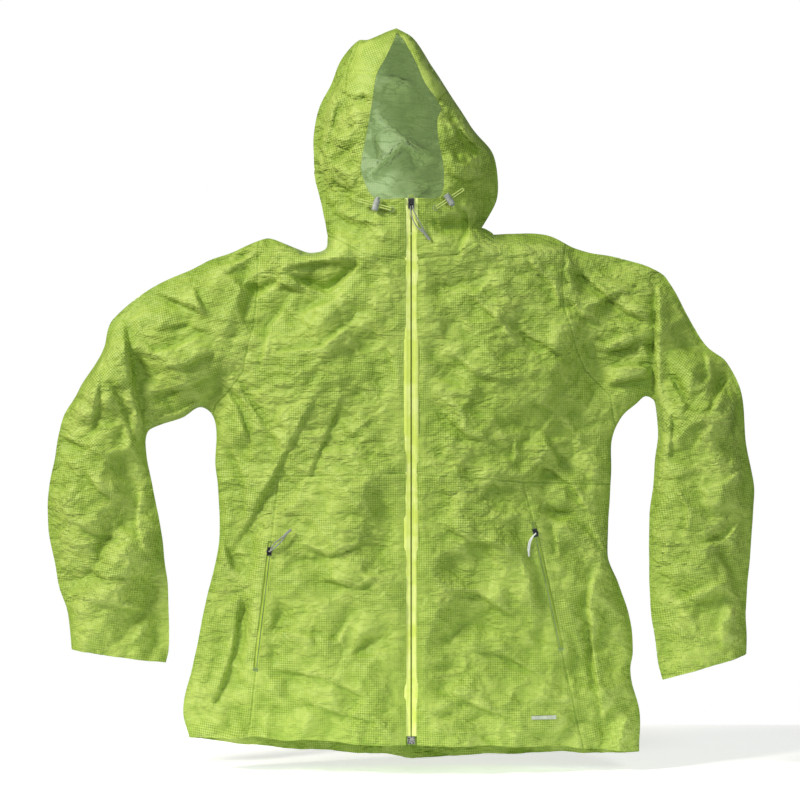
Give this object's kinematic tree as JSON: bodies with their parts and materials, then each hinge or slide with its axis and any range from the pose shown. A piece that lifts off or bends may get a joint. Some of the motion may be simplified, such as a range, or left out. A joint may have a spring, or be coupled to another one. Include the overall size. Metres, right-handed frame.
{
  "type": "hardshell jacket",
  "caption": "Hooded waterproof shell jacket lying flat, with full front zip, zipped hand pockets, drawcord hood and hem, and jointed sleeves.",
  "frame": {"origin": "on the front zip line across the jacket, between the front and the back at the side creases, at the height of the lowest point of the back hem", "axes": "+Z from the hem to the hood, -Y out of the front (the wearer's front), +X to the wearer's left"},
  "size_m": [0.945, 0.1546, 0.9918],
  "materials": {
    "shell_fabric": "ripstop nylon with a slight sheen, crumpled",
    "lining_fabric": "matt grey-green inner coating",
    "zip_tape": "glossy film-coated tape, yellow-green",
    "zip_coil": "moulded coil, yellow-green",
    "slider_metal": "dark grey enamelled metal",
    "pull_grip": "grey moulded cord grip",
    "pull_light": "light grey moulded grip",
    "draw_cord": "braided elastic cord, yellow-green",
    "lock_plastic": "grey moulded plastic",
    "trim_grey": "grey transfer film"
  },
  "bodies": {
    "torso": {"armhole_gusset_left": "shell_fabric", "armhole_gusset_right": "shell_fabric", "back_panel": "shell_fabric", "back_yoke": "shell_fabric", "chin_guard": "lining_fabric", "collar_back": "shell_fabric", "collar_front_left": "shell_fabric", "collar_front_right": "shell_fabric", "front_lower_left": "shell_fabric", "front_lower_right": "shell_fabric", "front_upper_left": "shell_fabric", "front_upper_right": "shell_fabric", "hang_loop": "draw_cord", "hem_channel": "lining_fabric", "hem_cord_left": "draw_cord", "hem_cord_right": "draw_cord", "hood_cord_left": "draw_cord", "hood_cord_right": "draw_cord", "hood_eyelets": "lock_plastic", "hood_neck_band": "shell_fabric", "pocket_bag_left": "lining_fabric", "pocket_bag_right": "lining_fabric", "pocket_tape_left": "shell_fabric", "pocket_tape_right": "shell_fabric", "reflective_mark": "trim_grey", "side_panel_left": "shell_fabric", "side_panel_right": "shell_fabric", "zip_bottom_box": "slider_metal", "zip_coil_left": "zip_coil", "zip_coil_right": "zip_coil", "zip_tape_left": "zip_tape", "zip_tape_right": "zip_tape", "zip_top_stops": "zip_coil"},
    "main_slider": {"zip_slider": "slider_metal"},
    "main_pull": {"zip_pull": "pull_grip"},
    "hood": {"hood_side_left": "shell_fabric", "hood_side_right": "shell_fabric", "hood_centre": "shell_fabric", "hood_brim": "shell_fabric"},
    "pocket_slider_left": {"pocket_slider_left": "slider_metal"},
    "pocket_pull_left": {"pocket_pull_left": "pull_light"},
    "hood_lock_left": {"hood_lock_left": "lock_plastic"},
    "hood_button_left": {"hood_button_left": "lock_plastic"},
    "hem_lock_left": {"hem_lock_left": "lock_plastic"},
    "hem_button_left": {"hem_button_left": "lock_plastic"},
    "upper_sleeve_left": {"upper_sleeve_left": "shell_fabric", "elbow_panel_left": "shell_fabric"},
    "lower_sleeve_left": {"lower_sleeve_left": "shell_fabric", "cuff_facing_left": "lining_fabric"},
    "pocket_slider_right": {"pocket_slider_right": "slider_metal"},
    "pocket_pull_right": {"pocket_pull_right": "pull_grip"},
    "hood_lock_right": {"hood_lock_right": "lock_plastic"},
    "hood_button_right": {"hood_button_right": "lock_plastic"},
    "hem_lock_right": {"hem_lock_right": "lock_plastic"},
    "hem_button_right": {"hem_button_right": "lock_plastic"},
    "upper_sleeve_right": {"upper_sleeve_right": "shell_fabric", "elbow_panel_right": "shell_fabric"},
    "lower_sleeve_right": {"lower_sleeve_right": "shell_fabric", "cuff_facing_right": "lining_fabric"}
  },
  "joints": [
    {"name": "main_slider_travel", "type": "slide", "parent": "torso", "child": "main_slider", "axis": [0, 0, -1], "range_m": [0, 0.695]},
    {"name": "main_pull_swing", "type": "hinge", "parent": "main_slider", "child": "main_pull", "pos_m": [0, -0.0611, 0.75], "axis": [-1, 0, 0], "range_deg": [0, 150]},
    {"name": "pocket_slider_left_travel", "type": "slide", "parent": "torso", "child": "pocket_slider_left", "axis": [0.2159, 0.0222, -0.9762], "range_m": [0, 0.145]},
    {"name": "pocket_pull_left_swing", "type": "hinge", "parent": "pocket_slider_left", "child": "pocket_pull_left", "pos_m": [0.1663, -0.03969, 0.31137], "axis": [-0.9429, -0.2552, -0.2143], "range_deg": [0, 120]},
    {"name": "pocket_slider_right_travel", "type": "slide", "parent": "torso", "child": "pocket_slider_right", "axis": [-0.117, 0.0254, -0.9928], "range_m": [0, 0.145]},
    {"name": "pocket_pull_right_swing", "type": "hinge", "parent": "pocket_slider_right", "child": "pocket_pull_right", "pos_m": [-0.18995, -0.03365, 0.28611], "axis": [0.9521, -0.2817, -0.1194], "range_deg": [0, 120]},
    {"name": "hood_lock_left_travel", "type": "slide", "parent": "torso", "child": "hood_lock_left", "axis": [0.7963, 0.235, 0.5574], "range_m": [-0.01, 0.012]},
    {"name": "hood_button_left_press", "type": "slide", "parent": "hood_lock_left", "child": "hood_button_left", "axis": [-0.5346, -0.1578, 0.8302], "range_m": [0, 0.0025], "stiffness_N_per_m": 400},
    {"name": "hood_lock_right_travel", "type": "slide", "parent": "torso", "child": "hood_lock_right", "axis": [-0.9481, 0.1665, 0.2709], "range_m": [-0.01, 0.012]},
    {"name": "hood_button_right_press", "type": "slide", "parent": "hood_lock_right", "child": "hood_button_right", "axis": [-0.2668, 0.0469, -0.9626], "range_m": [0, 0.0025], "stiffness_N_per_m": 400},
    {"name": "hem_lock_left_travel", "type": "slide", "parent": "torso", "child": "hem_lock_left", "axis": [0.9929, 0, -0.1191], "range_m": [-0.01, 0.012]},
    {"name": "hem_button_left_press", "type": "slide", "parent": "hem_lock_left", "child": "hem_button_left", "axis": [0.1191, 0, 0.9929], "range_m": [0, 0.0025], "stiffness_N_per_m": 400},
    {"name": "hem_lock_right_travel", "type": "slide", "parent": "torso", "child": "hem_lock_right", "axis": [-0.8944, 0, -0.4472], "range_m": [-0.01, 0.012]},
    {"name": "hem_button_right_press", "type": "slide", "parent": "hem_lock_right", "child": "hem_button_right", "axis": [0.4472, 0, -0.8944], "range_m": [0, 0.0025], "stiffness_N_per_m": 400},
    {"name": "shoulder_left_raise", "type": "hinge", "parent": "torso", "child": "upper_sleeve_left", "pos_m": [0.24, 0, 0.59], "axis": [0, -1, 0], "range_deg": [0, 35], "deforming": ["armhole_gusset_left"]},
    {"name": "shoulder_right_raise", "type": "hinge", "parent": "torso", "child": "upper_sleeve_right", "pos_m": [-0.238, 0, 0.6], "axis": [0, 1, 0], "range_deg": [0, 35], "deforming": ["armhole_gusset_right"]},
    {"name": "elbow_left_bend", "type": "hinge", "parent": "upper_sleeve_left", "child": "lower_sleeve_left", "pos_m": [0.372, 0, 0.54], "axis": [0, -1, 0], "range_deg": [0, 45], "deforming": ["elbow_panel_left"]},
    {"name": "elbow_right_bend", "type": "hinge", "parent": "upper_sleeve_right", "child": "lower_sleeve_right", "pos_m": [-0.392, 0, 0.505], "axis": [0, 1, 0], "range_deg": [0, 45], "deforming": ["elbow_panel_right"]},
    {"name": "hood_tilt", "type": "hinge", "parent": "torso", "child": "hood", "pos_m": [0, 0.055, 0.745], "axis": [-1, 0, 0], "range_deg": [0, 35], "deforming": ["hood_neck_band"]}
  ]
}
